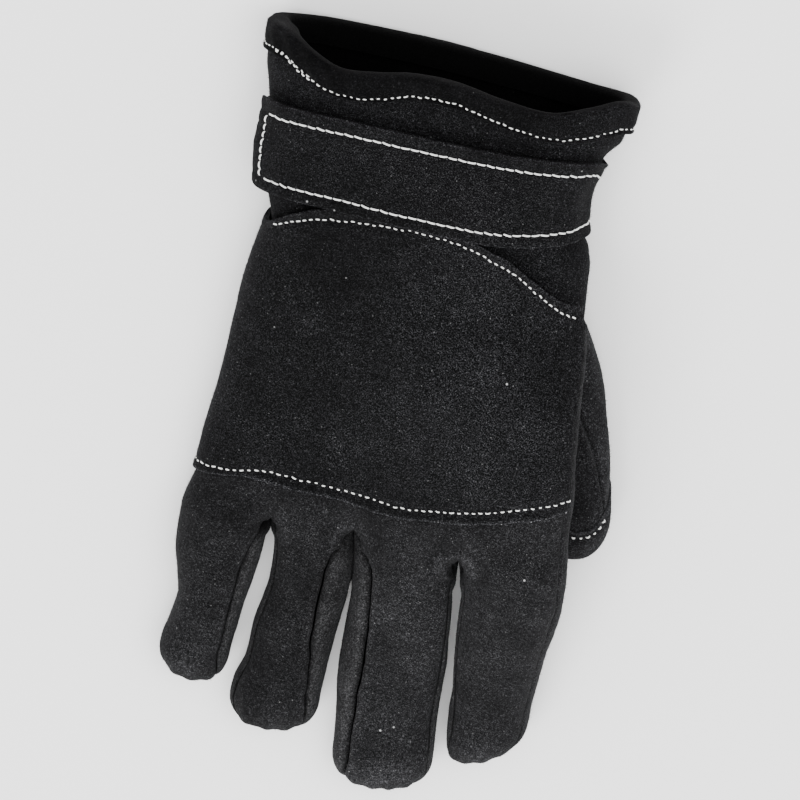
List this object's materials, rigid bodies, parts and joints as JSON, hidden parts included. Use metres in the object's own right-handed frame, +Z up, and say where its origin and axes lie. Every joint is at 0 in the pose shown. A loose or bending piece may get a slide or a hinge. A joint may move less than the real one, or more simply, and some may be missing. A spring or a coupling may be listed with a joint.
{
  "type": "rappelling glove",
  "caption": "Right-hand rope glove of black suede leather lying on its palm, with an open cuff, turned hem, wrist strap, back patch, finger gussets and a patched thumb.",
  "frame": {"origin": "under the centre of the glove's outline, on the surface it lies on", "axes": "+Z up, out of the back of the hand; +Y along the hand towards the cuff opening, fingers towards -Y; +X towards the thumb"},
  "size_m": [0.1436, 0.2672, 0.0503],
  "materials": {
    "cuff_suede": "matt black suede nap",
    "strap_suede": "matt black suede nap",
    "back_suede": "matt black suede nap",
    "palm_suede": "matt black suede nap",
    "gusset_suede": "matt black suede nap",
    "thumb_suede": "matt black suede nap",
    "pad_webbing": "black hook-and-loop pile"
  },
  "bodies": {
    "root": {"cuff": "cuff_suede", "cuff_hem": "cuff_suede", "wrist_strap": "strap_suede", "strap_hook_pad": "pad_webbing", "back_patch": "back_suede", "finger_back": "back_suede", "palm_panel": "palm_suede", "gusset_pinky_ring": "gusset_suede", "gusset_ring_middle": "gusset_suede", "gusset_middle_index": "gusset_suede", "thumb": "thumb_suede", "thumb_patch": "thumb_suede"}
  },
  "joints": []
}
